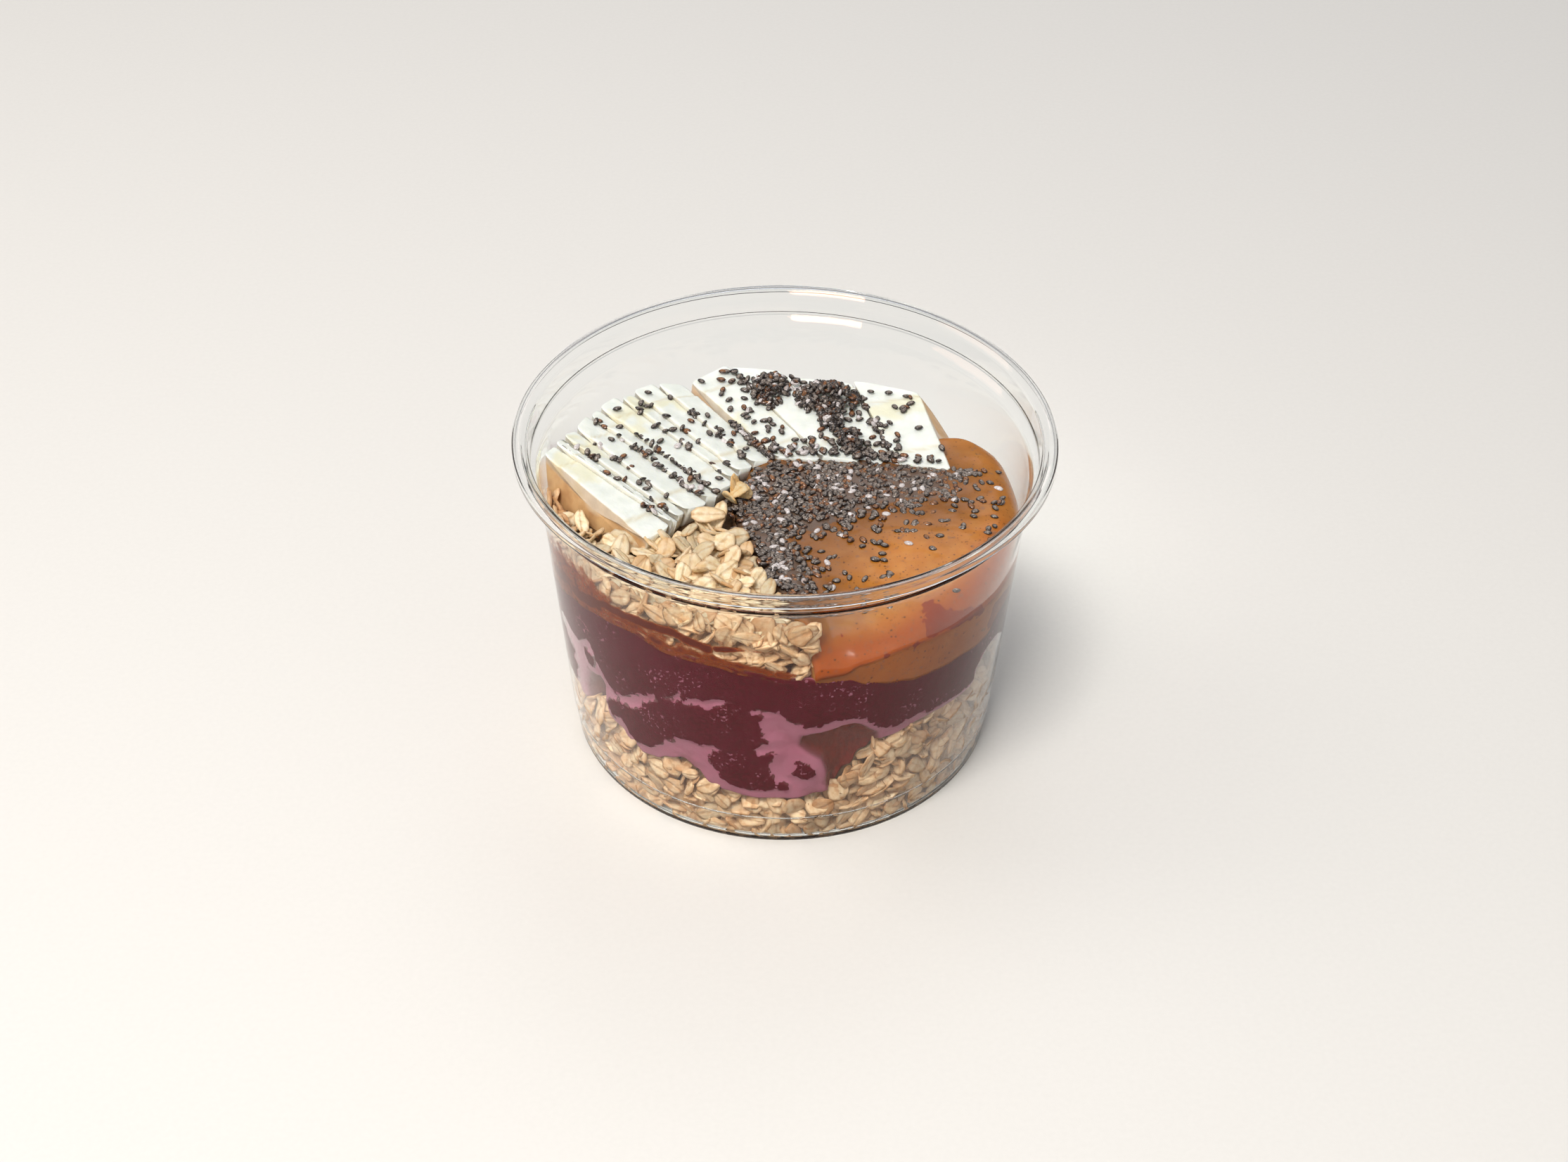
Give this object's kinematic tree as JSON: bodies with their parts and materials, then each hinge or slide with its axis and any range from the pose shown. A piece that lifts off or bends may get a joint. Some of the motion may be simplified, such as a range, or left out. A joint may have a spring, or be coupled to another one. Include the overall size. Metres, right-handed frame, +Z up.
{
  "type": "acai bowl",
  "caption": "Clear plastic tub of rolled oats, acai and peanut butter in layers, topped with half-moon banana slices and chia seeds.",
  "frame": {"origin": "centre of the tub's foot, on the surface that the tub stands on", "axes": "+Z up along the tub's axis; -Y faces the front, where the upper oats meet the peanut butter; +X to the right"},
  "size_m": [0.1176, 0.1176, 0.0779],
  "materials": {
    "clear_plastic": "clear moulded plastic, high gloss",
    "oats": "dry toasted rolled oats",
    "acai": "smooth wet puree",
    "peanut_butter": "runny and glossy, with dark specks",
    "banana": "moist cut fruit",
    "chia": "dark marbled seed coat"
  },
  "bodies": {
    "root": {"tub": "clear_plastic", "oats_bottom": "oats", "acai": "acai", "oats_top": "oats", "peanut_butter": "peanut_butter", "oat_cluster": "oats", "banana_01": "banana", "banana_02": "banana", "banana_03": "banana", "banana_04": "banana", "banana_05": "banana", "banana_06": "banana", "banana_07": "banana", "banana_08": "banana", "banana_09": "banana", "banana_10": "banana", "banana_11": "banana", "banana_12": "banana", "banana_13": "banana"}
  },
  "joints": []
}
